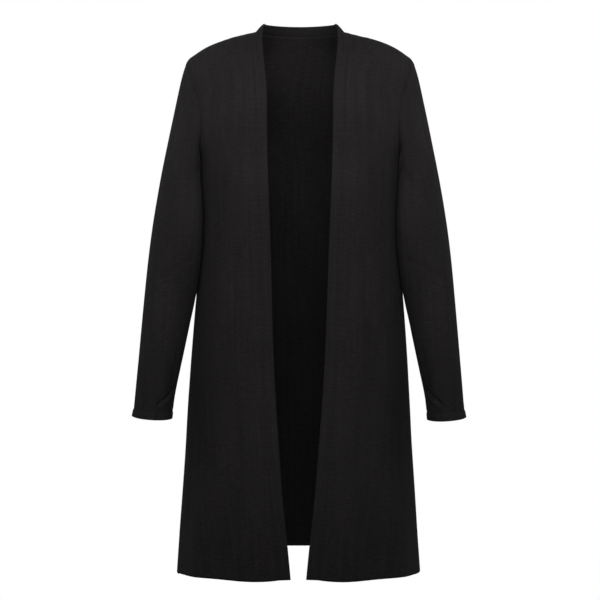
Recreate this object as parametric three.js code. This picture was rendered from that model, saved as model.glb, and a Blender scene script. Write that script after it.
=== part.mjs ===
// An open-front, knee-length duster cardigan of fine black jersey, filled out as on a wearer with nobody in it.
// Millimetres, +Z up. The front faces -Y and the wearer's left is +X.
// The origin is midway between the two points where the shoulder seams meet the neck.
// Every cut piece is a wall of cloth: an outer grid of points, moved in along its normals for the inner face.
// Pieces that are sewn together share their seam points, and each is then drawn back a little from the seam.
import * as THREE from 'three';

// Cloth
const JERSEY_WALL = 1.5;
const BAND_WALL = 2.4; // the band is folded double
const SEAM_GAP = 0.36;
const CLEAR_OF_BODY = 2.2; // between the hanging sleeve and the side of the body

// Neck and shoulders
const NECK = { halfWidth: 72, backDepth: 62, backRise: 4, steepness: 1.9 };
const SHOULDER_X = 187;
const BAND = { width: 18.5, backWidth: 16, liftAtNeck: 47, liftAtBack: 76, liftStart: 75 };

// How far the shoulder seam drops on its way from the neck (0) to the shoulder tip (1).
const SHOULDER_SEAM = [
  { at: 0, drop: 0 },
  { at: 0.25, drop: 6 },
  { at: 0.5, drop: 14 },
  { at: 0.75, drop: 26 },
  { at: 1, drop: 46 },
];

// Heights
const UNDERARM_Z = -215;
const YOKE_Z = -100;
const HEM = { centreFront: -882.5, side: -896, centreBack: -876 };
const HEM_DIP = { depth: 3.5, across: 0.18, spread: 0.2 }; // the fronts hang lowest a little way in from the band
const HEM_SWAY = -2.5; // the hem hangs a little to the wearer's right

// Grid counts
const BODY_ROWS = 20; // hem to underarm
const ARMHOLE_ROWS = 6; // underarm to yoke line
const YOKE_ROWS = 6; // yoke line over the shoulder to its seam
const FRONT_COLUMNS = 10;
const NECK_COLUMNS = 4; // centre back to the neck point
const BAND_COLUMNS = 2;
const SLEEVE_RINGS = 21;
const ALL_ROWS = BODY_ROWS + ARMHOLE_ROWS + YOKE_ROWS;
const ARMHOLE_POINTS = 2 * (ARMHOLE_ROWS + YOKE_ROWS);

const SECTION_POWER = 2.2; // 2 is an ellipse, more is squarer

// Horizontal sections of the body: half the width at the side seam, and the reach forward and back.
const BODY_SECTIONS = [
  { at: -900, half: 203.0, front: 140, back: 133 },
  { at: -862, half: 200.5, front: 138, back: 131 },
  { at: -778, half: 194.5, front: 132, back: 126 },
  { at: -695, half: 188.5, front: 126, back: 120 },
  { at: -612, half: 184.0, front: 121, back: 114 },
  { at: -528, half: 178.5, front: 117, back: 108 },
  { at: -445, half: 172.0, front: 114, back: 101 },
  { at: -362, half: 166.0, front: 115, back: 98 },
  { at: -300, half: 165.0, front: 119, back: 101 },
  { at: -250, half: 165.0, front: 118, back: 103 },
  { at: -215, half: 166.5, front: 113, back: 102 },
  { at: -185, half: 177.0, front: 106, back: 99 },
  { at: -150, half: 189.0, front: 97, back: 94 },
  { at: -95, half: 192.0, front: 77, back: 79 },
];

// Where the band is sewn to the front, as a distance from the centre.
const BAND_SEAM = [
  { at: -882, x: 30.5 },
  { at: -838, x: 34.8 },
  { at: -760, x: 43.5 },
  { at: -682, x: 49.3 },
  { at: -603, x: 55.2 },
  { at: -524, x: 59.4 },
  { at: -445, x: 62.0 },
  { at: -366, x: 64.2 },
  { at: -286, x: 67.2 },
  { at: -207, x: 70.0 },
  { at: -130, x: 71.6 },
  { at: -95, x: 72.6 },
];

// The lower armhole, from the underarm (0) up to the yoke line (1): how far forward and back it runs, and its heights.
const ARMHOLE = [
  { at: 0, forward: 0, frontZ: -215, backward: 0, backZ: -215 },
  { at: 1 / 6, forward: 28, frontZ: -208, backward: 25, backZ: -208 },
  { at: 2 / 6, forward: 45, frontZ: -193, backward: 39, backZ: -193 },
  { at: 3 / 6, forward: 53, frontZ: -173, backward: 46, backZ: -173 },
  { at: 4 / 6, forward: 55, frontZ: -152, backward: 49, backZ: -151 },
  { at: 5 / 6, forward: 51, frontZ: -132, backward: 48, backZ: -130 },
  { at: 1, forward: 43, frontZ: -113, backward: 43, backZ: -110 },
];

// Soft vertical folds. Angles go round from the centre front (0) to the centre back (180) on each side.
const FOLDS = [
  { angle: 34, hemAngle: 22, spread: 9, depth: 4.0, top: -330 },
  { angle: 40, hemAngle: 37, spread: 7, depth: -2.6, top: -420 },
  { angle: 44, hemAngle: 52, spread: 9, depth: 3.4, top: -360 },
  { angle: 62, hemAngle: 68, spread: 9, depth: -3.4, top: -420 },
  { angle: 108, hemAngle: 110, spread: 10, depth: -3.6, top: -400 },
  { angle: 124, hemAngle: 128, spread: 9, depth: 4.6, top: -330 },
  { angle: 140, hemAngle: 146, spread: 9, depth: -4.2, top: -300 },
  { angle: 160, hemAngle: 163, spread: 9, depth: 4.4, top: -260 },
  { angle: 180, hemAngle: 180, spread: 10, depth: -4.6, top: -280 },
];

// The sleeve below the armhole, ring by ring from the cap (0) to the cuff (1): its outer and inner edges seen from
// the front, half its depth, and how far its middle lies behind the side seam.
const SLEEVE_SECTIONS = [
  { at: 0.05, outX: 194.0, outZ: -64, inX: 170.0, inZ: -219, half: 57, mid: -1 },
  { at: 0.1, outX: 200.0, outZ: -88, inX: 169.5, inZ: -224, half: 57, mid: -2 },
  { at: 0.2, outX: 211.0, outZ: -142, inX: 162.0, inZ: -237, half: 58, mid: -6 },
  { at: 0.3, outX: 223.5, outZ: -205, inX: 154.0, inZ: -262, half: 59, mid: -12 },
  { at: 0.4, outX: 236.0, outZ: -276, inX: 148.0, inZ: -300, half: 58, mid: -20 },
  { at: 0.5, outX: 246.0, outZ: -347, inX: 152.0, inZ: -362, half: 55, mid: -27 },
  { at: 0.6, outX: 253.5, outZ: -417, inX: 169.0, inZ: -432, half: 49, mid: -28 },
  { at: 0.7, outX: 259.0, outZ: -482, inX: 182.5, inZ: -496, half: 45, mid: -32 },
  { at: 0.8, outX: 264.0, outZ: -541, inX: 194.5, inZ: -552, half: 41, mid: -35 },
  { at: 0.9, outX: 268.0, outZ: -593, inX: 205.0, inZ: -602, half: 36, mid: -39 },
  { at: 0.95, outX: 269.5, outZ: -614, inX: 207.0, inZ: -620, half: 34.5, mid: -41 },
  { at: 1, outX: 272.0, outZ: -632, inX: 208.5, inZ: -637, half: 35, mid: -42 },
];
const CAP_BLEND = 0.36; // share of the sleeve over which the armhole's shape turns into an oval
// The wearer's right cuff hangs a little further out, and the left one a little lower.
const CUFF_SWING = { right: 2, left: -1 };
const CUFF_DROP = { right: 0, left: 2 };
const CUFF_SAG = 3; // how much lower the front of the cuff hangs than its sides

// Smooth value of one named column of a table, at a place along its 'at' column.
function column(table, name, at) {
  const last = table.length - 1;
  if (at <= table[0].at) return table[0][name];
  if (at >= table[last].at) return table[last][name];
  const i = table.findIndex((row) => row.at > at) - 1;
  const slope = (k) => {
    const a = table[Math.max(k - 1, 0)];
    const b = table[Math.min(k + 1, last)];
    return (b[name] - a[name]) / (b.at - a.at);
  };
  const span = table[i + 1].at - table[i].at;
  const t = (at - table[i].at) / span;
  return hermite(table[i][name], slope(i) * span, table[i + 1][name], slope(i + 1) * span, t);
}

function hermite(p0, m0, p1, m1, t) {
  const t2 = t * t;
  const t3 = t2 * t;
  return p0 * (2 * t3 - 3 * t2 + 1) + m0 * (t3 - 2 * t2 + t) + p1 * (3 * t2 - 2 * t3) + m1 * (t3 - t2);
}

const hermitePoint = (p0, m0, p1, m1, t) =>
  new THREE.Vector3(
    hermite(p0.x, m0.x, p1.x, m1.x, t),
    hermite(p0.y, m0.y, p1.y, m1.y, t),
    hermite(p0.z, m0.z, p1.z, m1.z, t),
  );

const mix = THREE.MathUtils.lerp;
const ease = THREE.MathUtils.smoothstep;
const radians = THREE.MathUtils.degToRad;

// How far the folds move the cloth out at an angle round the body and a height.
function foldDepth(angle, z) {
  return FOLDS.reduce((sum, fold) => {
    const down = ease(-z, -fold.top, -HEM.side);
    const centre = radians(mix(fold.angle, fold.hemAngle, down));
    const off = (angle - centre) / radians(fold.spread);
    return sum + fold.depth * down * Math.exp(-off * off);
  }, 0);
}

// A point of the body's horizontal section. angle is 0 at the centre front, 90 degrees at the side.
function bodyPoint(angle, z) {
  const half = column(BODY_SECTIONS, 'half', z);
  const reach = column(BODY_SECTIONS, Math.cos(angle) >= 0 ? 'front' : 'back', z);
  const power = 2 / SECTION_POWER;
  const sine = Math.sin(angle);
  const cosine = Math.cos(angle);
  const fold = foldDepth(angle, z);
  return new THREE.Vector3(
    half * Math.pow(Math.max(sine, 0), power) + fold * sine,
    -Math.sign(cosine) * reach * Math.pow(Math.abs(cosine), power) - fold * cosine,
    z,
  );
}

// The angle at which the section reaches a distance from the centre, or a depth from the side seam.
const angleAtX = (x, z) => Math.asin(Math.pow(x / column(BODY_SECTIONS, 'half', z), SECTION_POWER / 2));
function angleAtDepth(depth, z, reachName) {
  const reach = column(BODY_SECTIONS, reachName, z);
  return Math.acos(Math.pow(depth / reach, SECTION_POWER / 2));
}

// Half the body's width at a depth, for keeping the sleeve clear of it.
function bodyWidthAt(y, z) {
  const height = Math.min(z, UNDERARM_Z);
  const reach = column(BODY_SECTIONS, y < 0 ? 'front' : 'back', height);
  const inside = 1 - Math.pow(Math.min(Math.abs(y) / reach, 1), SECTION_POWER);
  return column(BODY_SECTIONS, 'half', height) * Math.pow(inside, 1 / SECTION_POWER);
}

// Rows of the body below the yoke line. row counts up from the hem, across goes from the centre (0) to the side (1).
function frontPoint(row, across) {
  const up = Math.max(row - BODY_ROWS, 0) / ARMHOLE_ROWS;
  const low = Math.min(row / BODY_ROWS, 1);
  const centreZ = up > 0 ? mix(UNDERARM_Z, YOKE_Z, up) : mix(HEM.centreFront, UNDERARM_Z, low);
  const edgeZ = up > 0 ? column(ARMHOLE, 'frontZ', up) : mix(HEM.side, UNDERARM_Z, low);
  const edge = up > 0 ? angleAtDepth(column(ARMHOLE, 'forward', up), edgeZ, 'front') : Math.PI / 2;
  const start = angleAtX(column(BAND_SEAM, 'x', centreZ), centreZ);
  const off = (across - HEM_DIP.across) / HEM_DIP.spread;
  const dip = HEM_DIP.depth * Math.exp(-off * off) * (1 - low) ** 2;
  return bodyPoint(mix(start, edge, across), mix(centreZ, edgeZ, across) - dip);
}

function backPoint(row, across) {
  const up = Math.max(row - BODY_ROWS, 0) / ARMHOLE_ROWS;
  const low = Math.min(row / BODY_ROWS, 1);
  const centreZ = up > 0 ? mix(UNDERARM_Z, YOKE_Z, up) : mix(HEM.centreBack, UNDERARM_Z, low);
  const edgeZ = up > 0 ? column(ARMHOLE, 'backZ', up) : mix(HEM.side, UNDERARM_Z, low);
  const edge = up > 0 ? angleAtDepth(column(ARMHOLE, 'backward', up), edgeZ, 'back') : Math.PI / 2;
  return bodyPoint(Math.PI - edge * across, mix(centreZ, edgeZ, across * across));
}

// The shoulder seam, from the neck point (0) to the shoulder tip (1).
function shoulderPoint(along) {
  const x = mix(NECK.halfWidth, SHOULDER_X, along);
  return new THREE.Vector3(x, 0, -column(SHOULDER_SEAM, 'drop', along));
}

// The back neckline, from the centre back (0) to the neck point (1).
function necklinePoint(along) {
  const angle = (along * Math.PI) / 2;
  return new THREE.Vector3(
    NECK.halfWidth * Math.sin(angle),
    NECK.backDepth * Math.cos(angle),
    NECK.backRise * Math.cos(angle),
  );
}

// A column that rises from the yoke line and rolls over the shoulder.
function yokePoint(surface, across, top, topDirection, along) {
  const yokeRow = BODY_ROWS + ARMHOLE_ROWS;
  const start = surface(yokeRow, across);
  const below = surface(yokeRow - 0.3, across);
  const length = start.distanceTo(top);
  const rise = start.clone().sub(below).normalize().multiplyScalar(length);
  return hermitePoint(start, rise, top, topDirection.clone().normalize().multiplyScalar(length * 1.15), along);
}

// Half of each panel, on the wearer's left.
function frontGrid() {
  return gridOf(ALL_ROWS, FRONT_COLUMNS, (row, col) => {
    const across = col / FRONT_COLUMNS;
    const above = row - BODY_ROWS - ARMHOLE_ROWS;
    if (above <= 0) return frontPoint(row, across);
    const rollBack = new THREE.Vector3(-0.4 * Math.pow(1 - across, 3), 1, 0.1 * (1 - across));
    return yokePoint(frontPoint, across, shoulderPoint(across), rollBack, above / YOKE_ROWS);
  });
}

function halfBackGrid() {
  const columns = NECK_COLUMNS + FRONT_COLUMNS;
  return gridOf(ALL_ROWS, columns, (row, col) => {
    const across = col / columns;
    const above = row - BODY_ROWS - ARMHOLE_ROWS;
    if (above <= 0) return backPoint(row, across);
    const onNeck = col < NECK_COLUMNS;
    const top = onNeck ? necklinePoint(col / NECK_COLUMNS) : shoulderPoint((col - NECK_COLUMNS) / FRONT_COLUMNS);
    const steep = onNeck ? NECK.steepness * (1 - ease(col, 0, NECK_COLUMNS)) : 0;
    return yokePoint(backPoint, across, top, new THREE.Vector3(0, -1, steep), above / YOKE_ROWS);
  });
}

const gridOf = (rows, columns, pointAt) =>
  Array.from({ length: rows + 1 }, (_, row) => Array.from({ length: columns + 1 }, (_, col) => pointAt(row, col)));

// The band's free edge lies its width away from the seam, flat on the chest and standing up round the neck.
function bandGrid(seam, flatDirections, widthAt, liftAt) {
  return seam.map((point, i) => {
    const lift = radians(liftAt(point));
    const across = flatDirections[i].clone().multiplyScalar(Math.cos(lift));
    across.z += Math.sin(lift);
    return Array.from({ length: BAND_COLUMNS + 1 }, (_, col) =>
      point.clone().addScaledVector(across, (widthAt(point) * col) / BAND_COLUMNS),
    );
  });
}

function frontBandGrid(front) {
  const seam = front.map((row) => row[0]);
  const flat = front.map((row) => row[0].clone().sub(row[1]).setZ(0).normalize());
  const share = (point) => Math.max(0, (point.y + BAND.liftStart) / BAND.liftStart);
  return bandGrid(seam, flat, () => BAND.width, (point) => BAND.liftAtNeck * share(point) ** 2);
}

function halfNeckBandGrid() {
  const seam = Array.from({ length: NECK_COLUMNS + 1 }, (_, i) => necklinePoint(1 - i / NECK_COLUMNS));
  const flat = seam.map((point) => new THREE.Vector3(-point.x, -point.y, 0).normalize());
  const share = (point) => point.y / NECK.backDepth;
  return bandGrid(
    seam,
    flat,
    (point) => mix(BAND.width, BAND.backWidth, share(point)),
    (point) => mix(BAND.liftAtNeck, BAND.liftAtBack, share(point)),
  );
}

// The sleeve's rings. Ring 0 is the armhole: up the front from the shoulder tip, round the underarm, up the back.
function sleeveGrid(front, back, side) {
  const rows = Array.from({ length: ARMHOLE_POINTS / 2 }, (_, i) => ALL_ROWS - i);
  const frontHalf = rows.map((row) => front[row][FRONT_COLUMNS]);
  const backHalf = rows.map((row) => back[row][back[row].length - 1]).slice(1).reverse();
  const armhole = [...frontHalf, front[BODY_ROWS][FRONT_COLUMNS], ...backHalf];
  const tip = armhole[0];
  const underarm = armhole[ARMHOLE_POINTS / 2];
  const chord = new THREE.Vector2(underarm.x - tip.x, underarm.z - tip.z);
  const rings = [armhole];
  for (let ring = 1; ring <= SLEEVE_RINGS; ring += 1) {
    const along = ring / SLEEVE_RINGS;
    const swing = CUFF_SWING[side] * along * along;
    const drop = CUFF_DROP[side] * along;
    const outer = new THREE.Vector2(sleeve('outX', along) + swing, sleeve('outZ', along) - drop);
    const inner = new THREE.Vector2(sleeve('inX', along) + swing / 2, sleeve('inZ', along) - drop);
    const line = inner.clone().sub(outer);
    const oval = ease(along, 0, CAP_BLEND);
    rings.push(
      armhole.map((point, i) => {
        const turn = (2 * Math.PI * i) / ARMHOLE_POINTS;
        const offset = new THREE.Vector2(point.x - tip.x, point.z - tip.z);
        const down = mix(offset.dot(chord) / chord.lengthSq(), (1 - Math.cos(turn)) / 2, oval);
        const aside = (offset.cross(chord) / chord.length()) * (1 - oval);
        const normal = new THREE.Vector2(line.y, -line.x).normalize();
        const depth = mix(point.y, -Math.sin(turn) * sleeve('half', along), oval) + sleeve('mid', along);
        const x = outer.x + line.x * down + normal.x * aside;
        const sag = CUFF_SAG * Math.max(Math.sin(turn), 0) * along ** 4;
        const z = outer.y + line.y * down + normal.y * aside - sag;
        const x0 = z < UNDERARM_Z ? bodyWidthAt(depth, z) + CLEAR_OF_BODY : 0;
        return new THREE.Vector3(softMax(x, x0), depth, z);
      }),
    );
  }
  return rings;
}

const sleeve = (name, along) => column(SLEEVE_SECTIONS, name, along);

// The larger of two lengths, rounded off where they cross.
const softMax = (a, b) => b + 3 * Math.log1p(Math.exp((a - b) / 3));

// The grid on the other side of the body, and the small sideways hang of the skirt.
const mirrored = (grid) => grid.map((row) => row.map((p) => new THREE.Vector3(-p.x, p.y, p.z)));
const swayed = (grid) =>
  grid.map((row) => row.map((p) => p.clone().setX(p.x + HEM_SWAY * ease(-p.z, -UNDERARM_Z, -HEM.side))));

// Cut pieces, each as the grid of its outer face. sewn names the edges that meet another piece.
const leftFront = frontGrid();
const halfBack = halfBackGrid();
const leftBand = frontBandGrid(leftFront);
const halfNeckBand = halfNeckBandGrid();
const wholeBack = halfBack.map((row) => [...mirrored([row])[0].slice(1).reverse(), ...row]);
const wholeNeckBand = [...mirrored(halfNeckBand), ...halfNeckBand.slice(0, -1).reverse()];
const leftSleeve = sleeveGrid(leftFront, halfBack, 'left');
const rightSleeve = mirrored(sleeveGrid(leftFront, halfBack, 'right'));

const PIECES = [
  { name: 'back', grid: swayed(wholeBack), wall: JERSEY_WALL, sewn: ['start', 'end', 'top'], turned: true },
  { name: 'left_front', grid: swayed(leftFront), wall: JERSEY_WALL, sewn: ['start', 'end', 'top'] },
  { name: 'right_front', grid: swayed(mirrored(leftFront)), wall: JERSEY_WALL, sewn: ['start', 'end', 'top'], turned: true },
  { name: 'left_front_band', grid: swayed(leftBand), wall: BAND_WALL, sewn: ['start', 'top'], turned: true },
  { name: 'right_front_band', grid: swayed(mirrored(leftBand)), wall: BAND_WALL, sewn: ['start', 'top'] },
  { name: 'back_neck_band', grid: wholeNeckBand, wall: BAND_WALL, sewn: ['start', 'bottom', 'top'] },
  { name: 'left_sleeve', grid: leftSleeve, wall: JERSEY_WALL, sewn: ['bottom'], ring: true },
  { name: 'right_sleeve', grid: rightSleeve, wall: JERSEY_WALL, sewn: ['bottom'], ring: true, turned: true },
];

const quadColumns = (piece) => piece.grid[0].length - (piece.ring ? 0 : 1);
const nextColumn = (piece, col) => (col + 1) % piece.grid[0].length;

// Outward normals at the points of a piece's grid.
function pieceNormals(piece) {
  const { grid } = piece;
  const normals = grid.map((row) => row.map(() => new THREE.Vector3()));
  for (let row = 0; row < grid.length - 1; row += 1) {
    for (let col = 0; col < quadColumns(piece); col += 1) {
      const next = nextColumn(piece, col);
      const across = grid[row + 1][next].clone().sub(grid[row][col]);
      const back = grid[row + 1][col].clone().sub(grid[row][next]);
      const normal = piece.turned ? back.cross(across) : across.cross(back);
      normals[row][col].add(normal);
      normals[row][next].add(normal);
      normals[row + 1][next].add(normal);
      normals[row + 1][col].add(normal);
    }
  }
  return normals.map((row) => row.map((normal) => normal.normalize()));
}

// Pieces that share a seam point share its normal too, so that their walls meet on one mitre.
const seamKey = (p) => p.toArray().map((length) => Math.round(length * 50)).join(' ');
const seamNormals = new Map();
PIECES.forEach((piece) => {
  const normals = pieceNormals(piece);
  piece.grid.forEach((row, r) =>
    row.forEach((p, c) => {
      const sum = seamNormals.get(seamKey(p)) ?? new THREE.Vector3();
      seamNormals.set(seamKey(p), sum.add(normals[r][c]));
    }),
  );
});
seamNormals.forEach((normal) => normal.normalize());

// Draws the sewn edges of a grid back into the piece by half the seam gap, square to the mitre.
function drawnBack(piece) {
  const { grid, sewn, ring } = piece;
  const lastRow = grid.length - 1;
  const lastCol = grid[0].length - 1;
  const pull = (from, to, seamAlong) => {
    const away = seamNormals.get(seamKey(from)).clone().cross(seamAlong).setLength(SEAM_GAP / 2);
    return away.dot(to.clone().sub(from)) < 0 ? away.negate() : away;
  };
  return grid.map((row, r) =>
    row.map((p, c) => {
      const left = ring ? row.at(c - 1) : row[Math.max(c - 1, 0)];
      const right = ring ? row[nextColumn(piece, c)] : row[Math.min(c + 1, lastCol)];
      const alongRow = right.clone().sub(left);
      const alongColumn = grid[Math.min(r + 1, lastRow)][c].clone().sub(grid[Math.max(r - 1, 0)][c]);
      const moved = p.clone();
      if (r === 0 && sewn.includes('bottom')) moved.add(pull(p, grid[1][c], alongRow));
      if (r === lastRow && sewn.includes('top')) moved.add(pull(p, grid[lastRow - 1][c], alongRow));
      if (c === 0 && sewn.includes('start')) moved.add(pull(p, row[1], alongColumn));
      if (c === lastCol && sewn.includes('end')) moved.add(pull(p, row[lastCol - 1], alongColumn));
      return moved;
    }),
  );
}

// A closed wall of cloth from a grid: the outer face, the inner face, and the edges between them.
function clothMesh(piece) {
  const outer = drawnBack(piece);
  const rows = outer.length;
  const cols = outer[0].length;
  const inner = outer.map((row, r) =>
    row.map((p, c) => p.clone().addScaledVector(seamNormals.get(seamKey(piece.grid[r][c])), -piece.wall)),
  );
  const points = [...outer.flat(), ...inner.flat()];
  const at = (row, col, side) => side * rows * cols + row * cols + col;
  const index = [];
  // A quad is split along its shorter diagonal, so that facing seam edges are split alike.
  const quad = (a, b, c, d) => {
    const short = points[a].distanceTo(points[c]) < points[b].distanceTo(points[d]);
    const triangles = short ? [a, b, c, a, c, d] : [b, c, d, b, d, a];
    index.push(...(piece.turned ? triangles.reverse() : triangles));
  };
  for (let row = 0; row < rows - 1; row += 1) {
    for (let col = 0; col < quadColumns(piece); col += 1) {
      const next = nextColumn(piece, col);
      quad(at(row, col, 0), at(row, next, 0), at(row + 1, next, 0), at(row + 1, col, 0));
      quad(at(row, col, 1), at(row + 1, col, 1), at(row + 1, next, 1), at(row, next, 1));
    }
  }
  for (let col = 0; col < quadColumns(piece); col += 1) {
    const next = nextColumn(piece, col);
    quad(at(0, next, 0), at(0, col, 0), at(0, col, 1), at(0, next, 1));
    quad(at(rows - 1, col, 0), at(rows - 1, next, 0), at(rows - 1, next, 1), at(rows - 1, col, 1));
  }
  if (!piece.ring) {
    for (let row = 0; row < rows - 1; row += 1) {
      quad(at(row, 0, 0), at(row + 1, 0, 0), at(row + 1, 0, 1), at(row, 0, 1));
      quad(at(row + 1, cols - 1, 0), at(row, cols - 1, 0), at(row, cols - 1, 1), at(row + 1, cols - 1, 1));
    }
  }
  const geometry = new THREE.BufferGeometry();
  geometry.setFromPoints(points);
  geometry.setIndex(index);
  geometry.computeVertexNormals();
  const cloth = new THREE.MeshStandardMaterial({ color: 0x1b1c20, roughness: 0.85 });
  const mesh = new THREE.Mesh(geometry, cloth);
  mesh.name = piece.name;
  return mesh;
}

const cardigan = new THREE.Group();
PIECES.forEach((piece) => cardigan.add(clothMesh(piece)));

export default cardigan;
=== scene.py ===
import math

import bmesh
import bpy
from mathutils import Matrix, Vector, noise
from mathutils.bvhtree import BVHTree
from mathutils.kdtree import KDTree


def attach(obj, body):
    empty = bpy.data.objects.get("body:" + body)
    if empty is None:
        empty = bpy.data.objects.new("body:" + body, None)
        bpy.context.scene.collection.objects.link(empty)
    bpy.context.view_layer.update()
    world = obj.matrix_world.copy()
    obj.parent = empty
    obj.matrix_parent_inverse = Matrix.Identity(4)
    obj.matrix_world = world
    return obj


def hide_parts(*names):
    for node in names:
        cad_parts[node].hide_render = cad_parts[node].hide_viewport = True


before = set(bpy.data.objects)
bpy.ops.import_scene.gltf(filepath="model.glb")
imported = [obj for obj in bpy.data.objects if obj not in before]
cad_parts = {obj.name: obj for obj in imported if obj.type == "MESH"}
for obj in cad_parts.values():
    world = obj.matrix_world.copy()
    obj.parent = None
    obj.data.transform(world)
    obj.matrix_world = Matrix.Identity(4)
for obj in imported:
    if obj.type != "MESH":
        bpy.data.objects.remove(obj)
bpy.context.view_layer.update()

# Camera. It looks level at the middle of the garment from 2.4 m in front, so the inside of the back hem
# shows above the front hem and the inside of the back shows between the two fronts.
camera = bpy.data.objects.new("camera", bpy.data.cameras.new("camera"))
camera.data.lens = 86.4
camera.data.sensor_width = 36
camera.location = (0, -2.4, -0.445)
camera.rotation_euler = (math.pi / 2, 0, 0)
bpy.context.collection.objects.link(camera)
bpy.context.scene.camera = camera
bpy.context.scene.view_settings.view_transform = "Standard"

# Jersey. A fine, slightly slubby black knit: columns of small V stitches that run down the cloth, uneven rows
# and a soft bloom where it is seen edge-on. Its pattern follows the cloth through the piece's own UV map, in
# metres.
STITCH_WIDTH = 0.0013
STITCH_HEIGHT = 0.0010
YARN_BLACK = (0.0096, 0.0086, 0.0089, 1)
YARN_WORN = (0.0260, 0.0235, 0.0240, 1)
# How high the loops, the columns and the unevenness of the yarn stand, beside each other.
LOOP_RISE = 0.35
COLUMN_RISE = 0.5
UNEVEN_RISE = 2.2
# The noise that makes the yarn uneven, in cells per metre of cloth. share is its part in the unevenness.
SLACK_COLUMNS = {"across": 170, "up": 7, "detail": 3, "share": 0.25}
SLUBS = {"across": 70, "up": 600, "detail": 3, "share": 0.4}
GRAIN = {"across": 330, "up": 240, "detail": 2, "share": 0.35}
LONG_SLUBS = {"across": 20, "up": 420, "detail": 1, "share": 0.12, "from": 0.68, "full": 0.78}
WEAR = {"across": 9, "up": 6, "detail": 4, "share": 0.35}
# Unevenness at which the yarn starts to look worn, and at which it does most.
WORN_FROM = 0.50
WORN_FULL = 0.90
# Hem stitching: two rows of short stitches that pull the cloth in, with painted sheen on their thread that makes
# them show a little paler.
HEM_ROWS_APART = 0.004
THREAD_HALF_WIDTH = 0.0006
STITCH_HALF_STEP = 0.0016
STITCH_HALF_GAP = 0.0004
STITCH_DEPTH = 3.0
STITCH_PAINTED_SHEEN = 0.10


def link(tree, source, output, target, socket):
    tree.links.new(source.outputs[output], target.inputs[socket])


def math_node(tree, operation, first, second=None, third=None):
    """A Math node whose inputs are numbers or (node, output) pairs."""
    node = tree.nodes.new("ShaderNodeMath")
    node.operation = operation
    for socket, value in zip(node.inputs, (first, second, third)):
        if isinstance(value, tuple):
            tree.links.new(value[0].outputs[value[1]], socket)
        elif value is not None:
            socket.default_value = value
    return (node, 0)


def cloth_noise(tree, cloth, cells):
    """Noise over the cloth, with its cells stretched across and up it."""
    mapping = tree.nodes.new("ShaderNodeMapping")
    mapping.inputs["Scale"].default_value = (cells["across"], cells["up"], 1)
    texture = tree.nodes.new("ShaderNodeTexNoise")
    texture.inputs["Scale"].default_value = 1
    texture.inputs["Detail"].default_value = cells["detail"]
    link(tree, cloth, "Cloth", mapping, "Vector")
    link(tree, mapping, "Vector", texture, "Vector")
    return texture


def knit_group():
    """Height of the stitches, and how worn and how uneven the yarn is, over a UV map in metres."""
    group = bpy.data.node_groups.new("jersey_knit", "ShaderNodeTree")
    group.interface.new_socket("Cloth", in_out="INPUT", socket_type="NodeSocketVector")
    for name in ("Height", "Unevenness", "Wear"):
        group.interface.new_socket(name, in_out="OUTPUT", socket_type="NodeSocketFloat")
    inputs = group.nodes.new("NodeGroupInput")
    outputs = group.nodes.new("NodeGroupOutput")
    split = group.nodes.new("ShaderNodeSeparateXYZ")
    link(group, inputs, "Cloth", split, "Vector")
    # V stitches: each column's rows lean up from its middle.
    column = math_node(group, "MULTIPLY", (split, "X"), 1 / STITCH_WIDTH)
    lean = math_node(group, "PINGPONG", column, 0.5)
    row = math_node(group, "MULTIPLY_ADD", (split, "Y"), 1 / STITCH_HEIGHT, lean)
    loop = math_node(group, "SINE", math_node(group, "MULTIPLY", row, 2 * math.pi))
    groove = math_node(group, "SINE", math_node(group, "MULTIPLY", column, 2 * math.pi))
    grooves = math_node(group, "MULTIPLY", groove, COLUMN_RISE)
    stitches = math_node(group, "MULTIPLY_ADD", loop, LOOP_RISE, grooves)
    # Thick and thin yarn along the rows, slack columns down the cloth, and a few long thick slubs.
    uneven = 0
    for cells in (SLACK_COLUMNS, SLUBS, GRAIN):
        texture = cloth_noise(group, inputs, cells)
        uneven = math_node(group, "MULTIPLY_ADD", (texture, 0), cells["share"], uneven)
    peaks = group.nodes.new("ShaderNodeMapRange")
    peaks.inputs["From Min"].default_value = LONG_SLUBS["from"]
    peaks.inputs["From Max"].default_value = LONG_SLUBS["full"]
    link(group, cloth_noise(group, inputs, LONG_SLUBS), 0, peaks, "Value")
    uneven = math_node(group, "MULTIPLY_ADD", (peaks, 0), LONG_SLUBS["share"], uneven)
    height = math_node(group, "MULTIPLY_ADD", uneven, UNEVEN_RISE, stitches)
    link(group, *height, outputs, "Height")
    link(group, *uneven, outputs, "Unevenness")
    link(group, cloth_noise(group, inputs, WEAR), 0, outputs, "Wear")
    return group


knit = knit_group()


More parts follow.
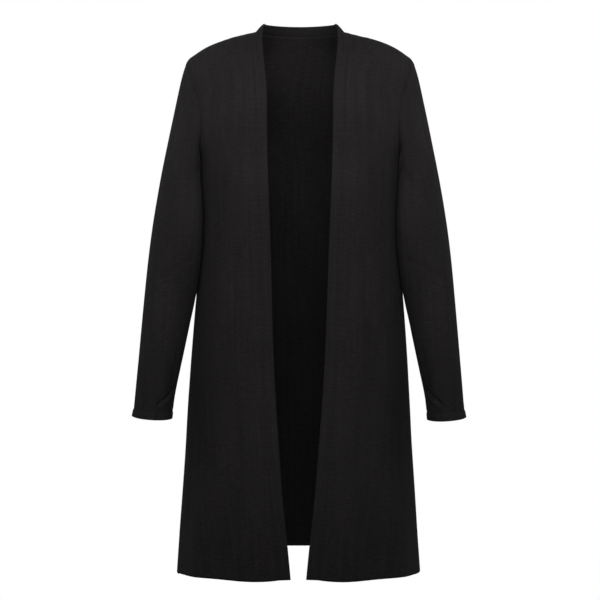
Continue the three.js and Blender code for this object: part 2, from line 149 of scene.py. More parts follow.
def jersey_material(name, hem=None):
    """Jersey. A hem gets two rows of stitching at a height up the cloth, dented in and with painted sheen that
    makes the thread a little paler.
    """
    material = bpy.data.materials.new(name)
    material.use_nodes = True
    tree = material.node_tree
    shader = tree.nodes["Principled BSDF"]
    cloth = tree.nodes.new("ShaderNodeUVMap")
    cloth.uv_map = "cloth"
    stitches = tree.nodes.new("ShaderNodeGroup")
    stitches.node_tree = knit
    link(tree, cloth, "UV", stitches, "Cloth")
    shade = math_node(tree, "MULTIPLY_ADD", (stitches, "Wear"), WEAR["share"], (stitches, "Unevenness"))
    height = (stitches, "Height")
    if hem:
        split = tree.nodes.new("ShaderNodeSeparateXYZ")
        link(tree, cloth, "UV", split, "Vector")
        for place in (hem, hem + HEM_ROWS_APART):
            off = math_node(tree, "ABSOLUTE", math_node(tree, "SUBTRACT", (split, "Y"), place))
            thread = math_node(tree, "LESS_THAN", off, THREAD_HALF_WIDTH)
            along = math_node(tree, "PINGPONG", (split, "X"), STITCH_HALF_STEP)
            no_gap = math_node(tree, "GREATER_THAN", along, STITCH_HALF_GAP)
            stitch = math_node(tree, "MULTIPLY", thread, no_gap)
            height = math_node(tree, "MULTIPLY_ADD", stitch, -STITCH_DEPTH, height)
            # Painted sheen: the stitches' thread is made a little paler in the colour.
            shade = math_node(tree, "MULTIPLY_ADD", stitch, STITCH_PAINTED_SHEEN, shade)
    worn = tree.nodes.new("ShaderNodeMapRange")
    worn.inputs["From Min"].default_value = WORN_FROM
    worn.inputs["From Max"].default_value = WORN_FULL
    link(tree, *shade, worn, "Value")
    colour = tree.nodes.new("ShaderNodeMix")
    colour.data_type = "RGBA"
    colour.inputs["A"].default_value = YARN_BLACK
    colour.inputs["B"].default_value = YARN_WORN
    link(tree, worn, "Result", colour, "Factor")
    link(tree, colour, "Result", shader, "Base Color")
    bump = tree.nodes.new("ShaderNodeBump")
    bump.inputs["Strength"].default_value = 0.5
    bump.inputs["Distance"].default_value = 0.0003
    link(tree, *height, bump, "Height")
    link(tree, bump, "Normal", shader, "Normal")
    shader.inputs["Roughness"].default_value = 0.8
    shader.inputs["Specular IOR Level"].default_value = 0.1
    shader.inputs["Sheen Weight"].default_value = 0.02
    shader.inputs["Sheen Roughness"].default_value = 0.45
    shader.inputs["Sheen Tint"].default_value = (0.8, 0.8, 0.85, 1)
    return material


# The body: a back and two fronts, cut from single jersey and sewn at the shoulders and sides. Each is one sheet
# on the outer face of its solid, with the soft folds that the cloth falls into, and gets its thickness last.
JERSEY_THICKNESS = 0.0015
BODY_HEM = 0.026
# The corners of the hem, at the side seams and the band seams. Each piece's rows of cloth start there.
LEFT_SIDE = (0.2, 0, -0.896)
RIGHT_SIDE = (-0.205, 0, -0.896)
LEFT_BAND_SEAM = (0.028, -0.1385, -0.884)
RIGHT_BAND_SEAM = (-0.033, -0.1385, -0.884)
UP = (0, 0, 1)
BACK_MIDDLE_COLUMN = 16
SHARP_CORNER = math.radians(150)
WELD = 0.00002
# Height of the chest. Points of the shoulders are looked at from there.
CHEST = -0.155
# The small unevenness of cloth that hangs free: how far it goes out, in waves per metre across and down.
SLACK = [
    {"rise": 0.0011, "across": 16, "down": 4},
    {"rise": 0.0004, "across": 45, "down": 14},
]
# Soft folds down the body, on both sides. chest and hem are distances from the centre, top and bottom are
# heights, and rise is how far the fold stands out, or in where it is negative.
FRONT_FOLDS = [
    {"chest": 0.086, "hem": 0.082, "top": -0.02, "bottom": -0.36, "width": 0.010, "rise": 0.0012},
    {"chest": 0.111, "hem": 0.120, "top": -0.05, "bottom": -0.42, "width": 0.011, "rise": 0.0011},
    {"chest": 0.084, "hem": 0.084, "top": 0.06, "bottom": -0.22, "width": 0.0042, "rise": 0.0007},
    {"chest": 0.097, "hem": 0.092, "top": 0.04, "bottom": -0.25, "width": 0.0046, "rise": 0.0008},
    {"chest": 0.110, "hem": 0.110, "top": 0.05, "bottom": -0.20, "width": 0.0046, "rise": 0.0007},
    {"chest": 0.092, "hem": 0.078, "top": -0.30, "bottom": -0.95, "width": 0.011, "rise": 0.0016},
    {"chest": 0.113, "hem": 0.104, "top": -0.34, "bottom": -0.95, "width": 0.009, "rise": -0.0013},
    {"chest": 0.126, "hem": 0.140, "top": -0.28, "bottom": -0.95, "width": 0.010, "rise": 0.0013},
    {"chest": 0.145, "hem": 0.165, "top": -0.50, "bottom": -0.95, "width": 0.009, "rise": 0.0010},
]
BACK_FOLDS = [
    {"chest": 0.020, "hem": 0.012, "top": -0.10, "bottom": -0.60, "width": 0.014, "rise": -0.0013},
    {"chest": 0.052, "hem": 0.060, "top": -0.14, "bottom": -0.95, "width": 0.013, "rise": 0.0016},
    {"chest": 0.088, "hem": 0.100, "top": -0.24, "bottom": -0.95, "width": 0.012, "rise": -0.0014},
    {"chest": 0.120, "hem": 0.138, "top": -0.18, "bottom": -0.95, "width": 0.012, "rise": 0.0013},
]
# Over how much of its length a fold starts and ends, how far down it starts and stops to lean from its chest
# distance to its hem distance, and how far and how fast it wanders to the sides.
FOLD_START = 0.14
FOLD_END = 0.12
FOLD_LEANS = (0.1, 0.9)
FOLD_WANDER = {"left": 0.006, "right": -0.0036, "per_metre": 9, "by_fold": 60}


def inside_body(place):
    """The point inside the body from which a point of the cloth is looked at."""
    return Vector((0, 0, min(place.z, CHEST)))


def outer_face(node, inside):
    """The outer face of a cut piece's solid, as one open sheet with its seams and hems as its edges."""
    sheet = bmesh.new()
    sheet.from_mesh(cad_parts[node].data)
    bmesh.ops.remove_doubles(sheet, verts=sheet.verts, dist=WELD)
    tree = KDTree(len(sheet.verts))
    for vert in sheet.verts:
        tree.insert(vert.co, vert.index)
    tree.balance()
    inner = []
    for vert in sheet.verts:
        across_the_wall = tree.find_n(vert.co, 2)[1][0]
        if (vert.co - across_the_wall).dot(vert.co - inside(vert.co)) < 0:
            inner.append(vert)
    bmesh.ops.delete(sheet, geom=inner, context="VERTS")
    bmesh.ops.delete(sheet, geom=[v for v in sheet.verts if not v.link_faces], context="VERTS")
    sheet.normal_update()
    return sheet


def near(sheet, place):
    """The point of the sheet's outline nearest to a place."""
    return min((v for v in sheet.verts if v.is_boundary), key=lambda v: (v.co - Vector(place)).length)


def edge_between(a, b):
    return next(e for e in a.link_edges if e.other_vert(a) is b)


def edge_row(corner, step, stop):
    """The points along the sheet's edge, from a corner by way of step to stop."""
    row = [corner, step]
    while row[-1] is not stop:
        ahead = (e.other_vert(row[-1]) for e in row[-1].link_edges if e.is_boundary)
        row.append(next(v for v in ahead if v is not row[-2]))
    return row


def third_point(edge, done):
    """The point across from an edge in its next triangle, and that triangle."""
    face = next(f for f in edge.link_faces if f not in done)
    return next(v for v in face.verts if v not in edge.verts), face


def straight_on(point, below, done, closed):
    """The point of the next row up, straight on from the row below, or None at the top."""
    if all(face in done for face in point.link_faces):
        return None
    ways = [e.other_vert(point) for e in point.link_edges
            if (closed or e.is_boundary) and any(f not in done for f in e.link_faces)]
    ahead = (point.co - below.co).normalized()
    return max((v for v in ways if v is not below), key=lambda v: (v.co - point.co).normalized().dot(ahead))


def lay_out(sheet, first_row, start, closed=False):
    """Turns the sheet's triangles back into the rows of quads that the piece was drawn with."""
    rows, done, diagonals = [first_row], set(), []
    while start is not None:
        row, above = rows[-1], [start]
        for left, right in zip(row, row[1:] + row[:1] if closed else row[1:]):
            point, face = third_point(edge_between(left, right), done)
            done.add(face)
            leans_back = point is above[-1]
            diagonal = edge_between(right, above[-1]) if leans_back else edge_between(left, point)
            other, face = third_point(diagonal, done)
            done.add(face)
            diagonals.append(diagonal)
            above.append(other if leans_back else point)
        if closed:
            above.pop()
        rows.append(above)
        start = straight_on(above[0], row[0], done, closed)
    bmesh.ops.dissolve_edges(sheet, edges=diagonals, use_verts=False)
    return rows


def map_cloth(sheet, rows, grain=0, closed=False):
    """Writes the UV map, in metres: across the cloth from its grain's column, and up it from its first row."""
    layer = sheet.loops.layers.uv.new("cloth")
    across, up, ends = {}, {}, {}
    for r, row in enumerate(rows):
        steps = [(a.co - b.co).length for a, b in zip(row, row[1:])]
        for c, vert in enumerate(row):
            across[vert] = sum(steps[:c]) - sum(steps[:grain])
            up[vert] = up[rows[r - 1][c]] + (vert.co - rows[r - 1][c].co).length if r else 0
        ends[row[0]] = across[row[-1]] + (row[0].co - row[-1].co).length
    last_column = {row[-1] for row in rows}
    for face in sheet.faces:
        closes = closed and any(v in last_column for v in face.verts) and any(v in ends for v in face.verts)
        for corner in face.loops:
            vert = corner.vert
            corner[layer].uv = (ends[vert] if closes and vert in ends else across[vert], up[vert])


def apply_modifiers(piece):
    """Puts the modifiers' result into the piece's mesh."""
    bpy.context.view_layer.update()
    made = bpy.data.meshes.new_from_object(piece.evaluated_get(bpy.context.evaluated_depsgraph_get()))
    piece.modifiers.clear()
    piece.data = made
    made.name = piece.name


def finer_sheet(name, sheet, levels):
    """The sheet as an object, rounded and divided. Its cut's corners are kept, so they meet at the seams."""
    kept = sheet.verts.layers.float.new("crease_vert")
    for vert in (v for v in sheet.verts if v.is_boundary):
        one, other = (e.other_vert(vert).co - vert.co for e in vert.link_edges if e.is_boundary)
        if one.angle(other) < SHARP_CORNER:
            vert[kept] = 1
    mesh = bpy.data.meshes.new(name)
    sheet.to_mesh(mesh)
    sheet.free()
    mesh.shade_smooth()
    piece = bpy.data.objects.new(name, mesh)
    bpy.context.collection.objects.link(piece)
    finer = piece.modifiers.new("finer", "SUBSURF")
    finer.levels = finer.render_levels = levels
    finer.boundary_smooth = "PRESERVE_CORNERS"
    finer.uv_smooth = "NONE"
    apply_modifiers(piece)
    return piece


def cut_sheet(node, inside, corner, far_corner, up, levels, grain=0):
    """A cut piece that opens flat. Its first row runs from corner to corner, and its rows go up from there."""
    sheet = outer_face(node, inside)
    corner, far_corner = near(sheet, corner), near(sheet, far_corner)
    sides = [e.other_vert(corner) for e in corner.link_edges if e.is_boundary]
    step, start = sorted(sides, key=lambda v: (v.co - corner.co).dot(Vector(up)))
    map_cloth(sheet, lay_out(sheet, edge_row(corner, step, far_corner), start), grain)
    return finer_sheet(node + "_cloth", sheet, levels)


back = cut_sheet("back", inside_body, RIGHT_SIDE, LEFT_SIDE, UP, 2, grain=BACK_MIDDLE_COLUMN)
left_front = cut_sheet("left_front", inside_body, LEFT_BAND_SEAM, LEFT_SIDE, UP, 3)
right_front = cut_sheet("right_front", inside_body, RIGHT_BAND_SEAM, RIGHT_SIDE, UP, 3)


def fade(value, low, high):
    """0 at low, 1 at high, smooth between."""
    share = min(max((value - low) / (high - low), 0), 1)
    return share * share * (3 - 2 * share)


def between(value, start, full, until, end):
    """0 up to start and from end on, 1 in the middle from full to until, smooth between."""
    return fade(value, start, full) * (1 - fade(value, until, end))


def bell(off):
    """1 at 0, and smoothly down to almost nothing at 2 on each side."""
    return math.exp(-off * off)


def slack(place):
    """How far the small unevenness of cloth that hangs free moves a point out."""
    out = 0
    for wave in SLACK:
        spot = Vector((place.x * wave["across"], place.y * wave["across"], place.z * wave["down"]))
        out += wave["rise"] * noise.noise(spot)
    return out


def body_fold(place):
    """How far the folds move a point of the body out."""
    out = slack(place)
    leans = fade(-place.z, *FOLD_LEANS)
    for fold in BACK_FOLDS if place.y > 0 else FRONT_FOLDS:
        middle = fold["chest"] + (fold["hem"] - fold["chest"]) * leans
        phase = place.z * FOLD_WANDER["per_metre"] + fold["chest"] * FOLD_WANDER["by_fold"]
        middle += FOLD_WANDER["left" if place.x > 0 else "right"] * math.sin(phase)
        top, bottom = -fold["top"], -fold["bottom"]
        here = between(-place.z, top, top + FOLD_START, bottom - FOLD_END, bottom)
        out += fold["rise"] * here * bell((abs(place.x) - middle) / fold["width"])
    return out


def push_out(piece, distance_at):
    """Moves each point of a sheet along its normal by a distance that depends on its place."""
    normals = [v.normal.copy() for v in piece.data.vertices]
    for vert, normal in zip(piece.data.vertices, normals):
        vert.co += normal * distance_at(vert.co)


def make_up(piece, node, thickness, material):
    """Gives the cloth its thickness inwards and its material, puts it under the root body and hides its CAD node.
    """
    wall = piece.modifiers.new("wall", "SOLIDIFY")
    wall.thickness = thickness
    wall.offset = -1
    piece.data.materials.clear()
    piece.data.materials.append(material)
    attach(piece, "root")
    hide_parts(node)


body_jersey = jersey_material("body_jersey", hem=BODY_HEM)
for piece, node, flat, area, sewn_to in (
    (back, "back", (0.546, 0.919), 0.402, []),
    (left_front, "left_front", (0.246, 0.924), 0.154, ["back_cloth"]),
    (right_front, "right_front", (0.246, 0.924), 0.154, ["back_cloth"]),
):
    push_out(piece, body_fold)
    make_up(piece, node, JERSEY_THICKNESS, body_jersey)

# The sleeves: long, set in at the armholes, each one piece of the same jersey closed by a seam under the arm.
# They hang a little bent at the elbow, with soft creases there and above the cuffs, and end in a turned hem.
CUFF_HEM = 0.0115
# The turned hem stands proud of the cloth, and its stitching makes a dent.
CUFF_PROUD = 0.0005
CUFF_STEP = 0.002
CUFF_DENT = {"depth": 0.0006, "above_stitching": 0.001, "width": 0.0024}
# Columns from the outside of the arm round to the seam under it.
HALF_ROUND = 12
# The middle of the left sleeve, mirrored on the right one.
ARMHOLE = {"out": 0.178, "forward": 0, "height": -0.13}
UPPER_ARM = {"out": 0.198, "forward": 0.020, "height": -0.30}
WRIST = {"out": 0.240, "forward": 0.042, "height": -0.637}
# A point of the left cuff's outer side, to start its rings from.
CUFF_OUTSIDE = (0.29, -0.04, -0.64)
SLEEVE_SLACK = 0.7
# Beside the body the sleeve is a little fuller on its inner side, most so from the elbow down. The stretches
# are distances below the neck point.
FULLER = {"angle": -165, "width": 38, "above_elbow": 0.0008, "below_elbow": 0.0020}
FULLER_STRETCH = (0.20, 0.22, 0.44, 0.49)
ELBOW = (0.36, 0.43)
# Creases of the left sleeve, mirrored on the right one. Angles are round the arm, 0 outwards, -90 to the front.
SLEEVE_CREASES = [
    {"angle": -138, "top": -0.515, "to_angle": -136, "bottom": -0.590, "width": 0.0042, "rise": -0.0014},
    {"angle": -152, "top": -0.590, "to_angle": -104, "bottom": -0.612, "width": 0.0028, "rise": -0.0030},
    {"angle": -156, "top": -0.599, "to_angle": -112, "bottom": -0.619, "width": 0.0036, "rise": 0.0012},
    {"angle": -128, "top": -0.380, "to_angle": -70, "bottom": -0.410, "width": 0.0060, "rise": -0.0011},
    {"angle": -140, "top": -0.345, "to_angle": -85, "bottom": -0.352, "width": 0.0060, "rise": -0.0010},
    {"angle": -120, "top": -0.235, "to_angle": -75, "bottom": -0.300, "width": 0.0070, "rise": -0.0010},
    {"angle": -60, "top": -0.440, "to_angle": -80, "bottom": -0.560, "width": 0.0060, "rise": 0.0010},
    {"angle": 145, "top": -0.250, "to_angle": 90, "bottom": -0.290, "width": 0.0070, "rise": -0.0012},
    {"angle": 150, "top": -0.360, "to_angle": 75, "bottom": -0.395, "width": 0.0060, "rise": -0.0012},
    {"angle": 130, "top": -0.420, "to_angle": 110, "bottom": -0.560, "width": 0.0060, "rise": -0.0010},
    {"angle": 20, "top": -0.410, "to_angle": 40, "bottom": -0.430, "width": 0.0060, "rise": -0.0008},
]
# How much further along its crease a point of the left sleeve lies than one of the right, as a share each way.
LEFT_RIGHT_SHIFT = 0.01


def side_of(place):
    """1 on the wearer's left, -1 on the right."""
    return 1 if place.x > 0 else -1


def arm(place):
    """The middle of the sleeve at a point's height. In the cap it stays down near the top of the arm."""
    top, bottom = (ARMHOLE, UPPER_ARM) if place.z > UPPER_ARM["height"] else (UPPER_ARM, WRIST)
    length = top["height"] - bottom["height"]
    down = max((top["height"] - place.z) / length, 0)
    out = top["out"] + (bottom["out"] - top["out"]) * down
    forward = top["forward"] + (bottom["forward"] - top["forward"]) * down
    height = top["height"] - length * down**3 if top is ARMHOLE else place.z
    return Vector((side_of(place) * out, -forward, height))


def sleeve_sheet(node, side):
    """A sleeve's sheet, laid out in rings up from the cuff, with its seam under the arm."""
    sheet = outer_face(node, arm)
    outermost = near(sheet, (side * CUFF_OUTSIDE[0], *CUFF_OUTSIDE[1:]))
    sides = [e.other_vert(outermost) for e in outermost.link_edges if e.is_boundary]
    step = min(sides, key=lambda v: v.co.y)
    ring = edge_row(outermost, step, outermost)[:-1]
    rising = [e.other_vert(outermost) for e in outermost.link_edges if not e.is_boundary]
    start = max(rising, key=lambda v: (v.co - outermost.co).normalized().z)
    rows = lay_out(sheet, ring, start, closed=True)
    rows = [row[HALF_ROUND:] + row[:HALF_ROUND] for row in rows]
    map_cloth(sheet, rows, grain=HALF_ROUND, closed=True)
    return finer_sheet(node + "_cloth", sheet, 3)


def turn(angle, other):
    """The turn from the other angle to this one, in degrees from -180 to 180."""
    return (angle - other + 180) % 360 - 180


def sleeve_fold(place):
    """How far the creases, and the fullness beside the body, move a point of a sleeve out."""
    out = slack(place) * SLEEVE_SLACK
    middle = arm(place)
    reach = Vector((abs(place.x) - abs(middle.x), place.y - middle.y))
    angle = math.degrees(math.atan2(reach.y, reach.x))
    toward_body = bell(turn(angle, FULLER["angle"]) / FULLER["width"])
    more = (FULLER["below_elbow"] - FULLER["above_elbow"]) * fade(-place.z, *ELBOW)
    out += toward_body * between(-place.z, *FULLER_STRETCH) * (FULLER["above_elbow"] + more)
    for crease in SLEEVE_CREASES:
        share = (crease["top"] - place.z) / (crease["top"] - crease["bottom"])
        share = min(max(share + LEFT_RIGHT_SHIFT * side_of(place), 0), 1)
        along = crease["angle"] + (crease["to_angle"] - crease["angle"]) * share
        height = crease["top"] + (crease["bottom"] - crease["top"]) * share
        sideways = math.radians(turn(angle, along)) * reach.length
        out += crease["rise"] * bell(math.hypot(sideways, place.z - height) / crease["width"])
    return out


def on_the_flat(piece):
    """Where each point of a sheet lies across and up the flat cloth, from its UV map."""
    spots = [None] * len(piece.data.vertices)
    for corner, spot in zip(piece.data.loops, piece.data.uv_layers["cloth"].uv):
        spots[corner.vertex_index] = spot.vector.copy()
    return spots


def turn_hem(piece):
    """The cuff's turned hem stands a little proud of the cloth, with a dent where its stitching pulls it in."""
    normals = [v.normal.copy() for v in piece.data.vertices]
    for vert, normal, spot in zip(piece.data.vertices, normals, on_the_flat(piece)):
        proud = CUFF_PROUD * (1 - fade(spot.y, CUFF_HEM - CUFF_STEP, CUFF_HEM))
        off = (spot.y - CUFF_HEM - CUFF_DENT["above_stitching"]) / CUFF_DENT["width"]
        vert.co += normal * (proud - CUFF_DENT["depth"] * bell(off))


left_sleeve = sleeve_sheet("left_sleeve", 1)
right_sleeve = sleeve_sheet("right_sleeve", -1)
sleeve_jersey = jersey_material("sleeve_jersey", hem=CUFF_HEM)
for piece, node, sewn_to in (
    (left_sleeve, "left_sleeve", ["back_cloth", "left_front_cloth"]),
    (right_sleeve, "right_sleeve", ["back_cloth", "right_front_cloth"]),
):
    push_out(piece, sleeve_fold)
    turn_hem(piece)
    make_up(piece, node, JERSEY_THICKNESS, sleeve_jersey)

# The bands: a strip of the same jersey, folded double and pressed, sewn up both front edges and on round the
# back neck, where it stands up. Its free edge is the fold, so it is soft and a little rounded.
BAND_THICKNESS = 0.0024
BAND_WIDTH = 0.0183
# Corners of the bands, on the seam and on the fold: at the front hem, and at the right end of the neck band,
# whose rows go on round the neck.
LEFT_HEM_CORNERS = (0.0279, -0.1385, -0.884), (0.0096, -0.1394, -0.884)
RIGHT_HEM_CORNERS = (-0.0329, -0.1385, -0.884), (-0.0145, -0.1394, -0.884)
NECK_CORNERS = (-0.0719, 0.0001, 0.0001), (-0.0594, 0.0002, 0.0135)
ROUND_THE_NECK = (0.5, 1, 0)
# Over FOLD_WIDTH the fold is thinner and set back, and over SEWN_WIDTH the sewn edge thins to single cloth.
FOLD_WIDTH = 0.0022
FOLD_SET_BACK = 0.0006
FOLD_THINNER = 0.5
SEWN_WIDTH = 0.006


def inside_band(place):
    """The point inside the body from which a point of a band is looked at."""
    return Vector((0, 0, place.z))


left_band = cut_sheet("left_front_band", inside_band, *LEFT_HEM_CORNERS, UP, 3)
right_band = cut_sheet("right_front_band", inside_band, *RIGHT_HEM_CORNERS, UP, 3)
neck_band = cut_sheet("back_neck_band", inside_band, *NECK_CORNERS, ROUND_THE_NECK, 3)
band_jersey = jersey_material("band_jersey")
for piece, node, length, sewn_to in (
    (left_band, "left_front_band", 0.933, "left_front_cloth"),
    (right_band, "right_front_band", 0.933, "right_front_cloth"),
    (neck_band, "back_neck_band", 0.209, "back_cloth"),
):
    push_out(piece, slack)
    flat = (BAND_WIDTH, length)
    make_up(piece, node, BAND_THICKNESS, band_jersey)
    fullness = piece.vertex_groups.new(name="fullness")
    piece.modifiers["wall"].vertex_group = "fullness"
    normals = [v.normal.copy() for v in piece.data.vertices]
    for vert, normal, spot in zip(piece.data.vertices, normals, on_the_flat(piece)):
        fold = fade(spot.x, BAND_WIDTH - FOLD_WIDTH, BAND_WIDTH)
        sewn = 1 - fade(spot.x, 0, SEWN_WIDTH)
        vert.co -= normal * FOLD_SET_BACK * fold
        full = 1 - FOLD_THINNER * fold - (1 - JERSEY_THICKNESS / BAND_THICKNESS) * sewn
        fullness.add([vert.index], full, "REPLACE")

# How the pieces settle on the wearer, by the same small shifts for all, so that their seams stay closed. across
# is a distance from the centre, and width is how far round its place a shift reaches. The pairs and fours are
# distances below the neck point, in front or to a side, over which a shift fades in and out.
SHOULDERS = {"lift": 0.0012, "heights": (-0.12, -0.03)}
NECK_POINT = {"across": 0.066, "height": 0.009, "width": 0.013, "out": 0.0012, "up": 0.0022}
FRONT_HEM = {"across": 0.05, "width": 0.035, "drop": 0.0022, "below": (0.82, 0.88), "in_front": 0.05}
CUFFS = {"beyond": 0.2, "drop": 0.0014, "below": (0.59, 0.635)}
CUFF_EDGES = {"flare": 0.0012, "below": (0.61, 0.64), "beyond": (0.24, 0.26)}
BESIDE_ARM = {"across": 0.156, "width": 0.018, "forward": 0.0100, "below": (0.07, 0.18, 0.40, 0.60),
              "in_front": (0.0, 0.032)}
ARMHOLE_FRONT = {"across": 0.152, "width": 0.018, "height": -0.100, "length": 0.026, "in": 0.0060,
                 "forward": 0.0045, "in_front": (0.01, 0.03)}
ARMPIT = {"across": 0.164, "forward": 0.036, "height": -0.202, "width": 0.022, "spread": 0.0045}
bands = [left_band, right_band, neck_band]
cloths = [back, left_front, right_front, left_sleeve, right_sleeve, *bands]


def off_line(place, line):
    """How far a point is to the side of a line that runs down the cloth, in the line's widths."""
    return (abs(place.x) - line["across"]) / line["width"]


def settle(place):
    """The shift of a point of the cloth."""
    side = side_of(place)
    below, in_front, beyond = -place.z, -place.y, abs(place.x)
    shift = Vector((0, 0, SHOULDERS["lift"] * fade(place.z, *SHOULDERS["heights"])))
    neck_point = Vector((side * NECK_POINT["across"], 0, NECK_POINT["height"]))
    lift = Vector((side * NECK_POINT["out"], 0, NECK_POINT["up"]))
    shift += lift * bell((place - neck_point).length / NECK_POINT["width"])
    if in_front > FRONT_HEM["in_front"]:
        shift.z -= FRONT_HEM["drop"] * fade(below, *FRONT_HEM["below"]) * bell(off_line(place, FRONT_HEM))
    if beyond > CUFFS["beyond"]:
        shift.z -= CUFFS["drop"] * fade(below, *CUFFS["below"])
        here = fade(below, *CUFF_EDGES["below"]) * fade(beyond, *CUFF_EDGES["beyond"])
        shift.x += side * CUFF_EDGES["flare"] * here
    # The cloth of the fronts stands forward beside the arm, from the chest down to the elbow.
    here = between(below, *BESIDE_ARM["below"]) * fade(in_front, *BESIDE_ARM["in_front"])
    shift.y -= BESIDE_ARM["forward"] * here * bell(off_line(place, BESIDE_ARM))
    # The front of the armhole curves further in over the chest, and forward.
    along = (place.z - ARMHOLE_FRONT["height"]) / ARMHOLE_FRONT["length"]
    here = bell(math.hypot(off_line(place, ARMHOLE_FRONT), along)) * fade(in_front, *ARMHOLE_FRONT["in_front"])
    shift += Vector((-side * ARMHOLE_FRONT["in"], -ARMHOLE_FRONT["forward"], 0)) * here
    # The sleeve and the body spread a little before and behind the armpit.
    for way in (-1, 1):
        armpit = Vector((side * ARMPIT["across"], way * ARMPIT["forward"], ARMPIT["height"]))
        shift.y += way * ARMPIT["spread"] * bell((place - armpit).length / ARMPIT["width"])
    return shift


for piece in cloths:
    for vert in piece.data.vertices:
        vert.co += settle(vert.co)

# Seams: each piece is overlocked to its neighbours on the inside. The cloth dips into the seam line and lies a
# little proud beside it, and the bands' seams, which are pressed flat, do so less.
SEWN_WITHIN = 0.0045
OUTLINE_STEP = 0.0005
ON_THE_EDGE = 0.0001
DRAWN_TOGETHER = 0.7
SEAM_REACH = 0.016
SEAM_DIP = {"width": 0.0022, "rise": -0.0007}
SEAM_RIDGE = {"from_seam": 0.006, "width": 0.003, "rise": 0.0005}
BAND_RELIEF = 0.35


def own_outline(piece):
    """Closely spaced points along each edge of a sheet's outline, with the sheet's normal at each."""
    sheet = bmesh.new()
    sheet.from_mesh(piece.data)
    edges = []
    for edge in sheet.edges:
        if edge.is_boundary:
            a, b = edge.verts
            steps = max(1, round(edge.calc_length() / OUTLINE_STEP))
            shares = [step / steps for step in range(steps + 1)]
            edges.append([(a.co.lerp(b.co, t), a.normal.lerp(b.normal, t)) for t in shares])
    sheet.free()
    return edges


def tree_of(places):
    """A tree that finds the nearest of some places."""
    tree = KDTree(len(places))
    for number, place in enumerate(places):
        tree.insert(place, number)
    tree.balance()
    return tree


outlines = {piece: own_outline(piece) for piece in cloths}
points = {piece: [point for edge in outlines[piece] for point in edge] for piece in cloths}
trees = {piece: tree_of([place for place, normal in points[piece]]) for piece in cloths}


def nearest_piece(piece, place):
    """The other piece whose outline passes nearest to a place."""
    return min((other for other in cloths if other is not piece), key=lambda other: trees[other].find(place)[2])


def across_seam(piece, place):
    """The nearest point on another piece's outline, its normal, and how far away it is."""
    other = nearest_piece(piece, place)
    spot, number, distance = trees[other].find(place)
    return spot, points[other][number][1], distance


for piece in cloths:
    sewn = [edge for edge in outlines[piece] if across_seam(piece, edge[len(edge) // 2][0])[2] < SEWN_WITHIN]
    seam = tree_of([place for edge in sewn for place, normal in edge])
    normals = [v.normal.copy() for v in piece.data.vertices]
    for vert, normal in zip(piece.data.vertices, normals):
        off = seam.find(vert.co)[2]
        if off > SEAM_REACH:
            continue
        partner, other_normal, distance = across_seam(piece, vert.co)
        if off < ON_THE_EDGE:
            vert.co += (partner - vert.co) * DRAWN_TOGETHER if distance < SEWN_WITHIN else Vector()
            normal = (normal + other_normal).normalized()
        relief = BAND_RELIEF if piece in bands or nearest_piece(piece, vert.co) in bands else 1
        dip = SEAM_DIP["rise"] * bell(off / SEAM_DIP["width"])
        ridge = SEAM_RIDGE["rise"] * bell((off - SEAM_RIDGE["from_seam"]) / SEAM_RIDGE["width"])
        vert.co += normal * relief * (dip + ridge)

# Where a sleeve hangs close to the body, its inner side lies against it, half a millimetre clear. It is drawn
# to the body from further off under the arm than below, and keeps to its own seams. The stretches are distances
# below the neck point.
CLEAR = 0.0005
DRAWN_UNDER_ARM = 0.012
DRAWN_BELOW = 0.0037
UNDER_ARM_ENDS = (0.21, 0.25)
RESTS_BELOW = 0.19
RESTING_STRETCH = (0.19, 0.21, 0.415, 0.47)
# The share of the way in at which a point is drawn fully, and how far from its seams a sleeve starts to follow.
FULLY_DRAWN = 0.6
FROM_SEAMS = (0.002, 0.009)
# Points nearer the body than CLEAR by more than this are always brought out.
TOO_NEAR = 0.0001
# Rays start this far from the centre and look this far inwards for the body.
RAY_START = 0.3
RAY_LENGTH = 0.16


def rest_against_body(sleeve, front, side):
    """Moves a sleeve's inner side sideways to the back or the front, whichever stands further out there."""
    body = [BVHTree.FromPolygons([v.co for v in piece.data.vertices], [p.vertices for p in piece.data.polygons])
            for piece in (back, front)]
    sewn = tree_of([place for edge in outlines[sleeve] for place, normal in edge])
    inwards = Vector((-side, 0, 0))
    for vert in sleeve.data.vertices:
        below = -vert.co.z
        if abs(vert.co.x) > abs(arm(vert.co).x) or below < RESTS_BELOW:
            continue
        start = Vector((side * RAY_START, *vert.co.yz))
        hits = [tree.ray_cast(start, inwards, RAY_LENGTH)[0] for tree in body]
        gap = abs(vert.co.x) - max((abs(hit.x) for hit in hits if hit), default=0)
        nearby = DRAWN_UNDER_ARM - (DRAWN_UNDER_ARM - DRAWN_BELOW) * fade(below, *UNDER_ARM_ENDS)
        if gap < nearby:
            close = fade((nearby - gap) / nearby, 0, FULLY_DRAWN) * between(below, *RESTING_STRETCH)
            close = max(close, fade(CLEAR - gap, 0, TOO_NEAR)) * fade(sewn.find(vert.co)[2], *FROM_SEAMS)
            vert.co.x += side * (CLEAR - gap) * close


rest_against_body(left_sleeve, left_front, 1)
rest_against_body(right_sleeve, right_front, -1)

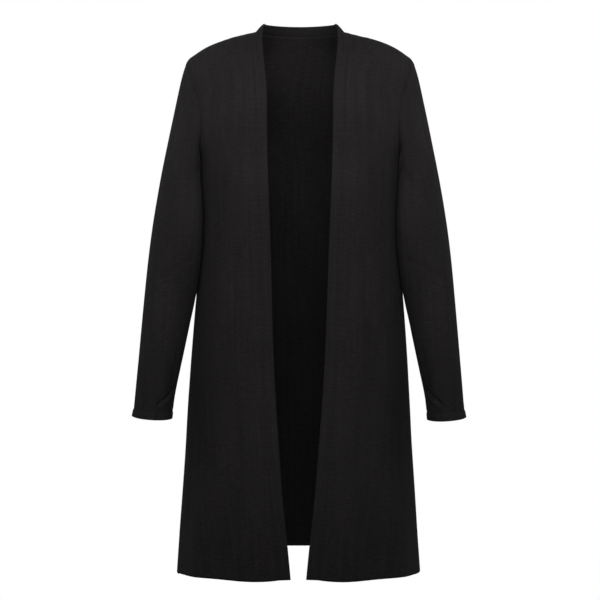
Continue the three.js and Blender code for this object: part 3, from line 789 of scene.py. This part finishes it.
# Studio: a pale floor well below the hem and plain white all round. A wide soft light hangs in front of the
# chest, a weak narrow one by the camera, one on each side for the edges of the shoulders and sleeves, and one
# behind for the back. The floor and the white look bright to the camera alone, so the cloth keeps its depth.
FLOOR_HEIGHT = -1.75
FLOOR_HALF_WIDTH = 3
WORLD_LIGHT = 0.12
FILL_SPREAD = math.radians(46)
LIGHTS = [
    {"name": "key", "place": (0, -1, 0.35), "aim": (0, -0.05, -0.15), "size": (2.2, 0.8), "power": 13.4},
    {"name": "fill", "place": (0, -2.2, -0.15), "aim": (0, 0, -0.2), "size": (0.8, 0.8), "power": 0.5},
    {"name": "left_side", "place": (1.1, 0.15, 0.3), "aim": (0.2, 0, -0.15), "size": (0.5, 0.7), "power": 2.5},
    {"name": "right_side", "place": (-1.1, 0.15, 0.3), "aim": (-0.2, 0, -0.15), "size": (0.5, 0.7), "power": 2.5},
    {"name": "behind", "place": (0, 1.6, 0.1), "aim": (0, 0.05, -0.3), "size": (1.2, 0.8), "power": 14},
]
paper = bpy.data.materials.new("white_paper")
paper.use_nodes = True
seen = paper.node_tree.nodes.new("ShaderNodeLightPath")
shader = paper.node_tree.nodes["Principled BSDF"]
shader.inputs["Base Color"].default_value = (0.6, 0.6, 0.6, 1)
shader.inputs["Roughness"].default_value = 0.9
shader.inputs["Emission Color"].default_value = (1, 1, 1, 1)
link(paper.node_tree, seen, "Is Camera Ray", shader, "Emission Strength")
floor = bmesh.new()
bmesh.ops.create_grid(floor, x_segments=1, y_segments=1, size=FLOOR_HALF_WIDTH)
bmesh.ops.translate(floor, verts=floor.verts, vec=(0, 0, FLOOR_HEIGHT))
floor_mesh = bpy.data.meshes.new("floor")
floor.to_mesh(floor_mesh)
floor.free()
floor_mesh.materials.append(paper)
ground = bpy.data.objects.new("floor", floor_mesh)
bpy.context.collection.objects.link(ground)

for light in LIGHTS:
    lamp = bpy.data.objects.new(light["name"], bpy.data.lights.new(light["name"], "AREA"))
    lamp.data.shape = "RECTANGLE"
    lamp.data.size, lamp.data.size_y = light["size"]
    lamp.data.energy = light["power"]
    lamp.data.spread = FILL_SPREAD if light["name"] == "fill" else math.pi
    lamp.location = light["place"]
    lamp.rotation_euler = (Vector(light["aim"]) - Vector(light["place"])).to_track_quat("-Z", "Y").to_euler()
    lamp.visible_camera = False
    bpy.context.collection.objects.link(lamp)
sky = bpy.data.worlds.new("studio")
sky.use_nodes = True
background = sky.node_tree.nodes["Background"]
background.inputs["Color"].default_value = (1, 1, 1, 1)
seen = sky.node_tree.nodes.new("ShaderNodeLightPath")
strength = math_node(sky.node_tree, "MULTIPLY_ADD", (seen, "Is Camera Ray"), 1 - WORLD_LIGHT, WORLD_LIGHT)
link(sky.node_tree, *strength, background, "Strength")
bpy.context.scene.world = sky
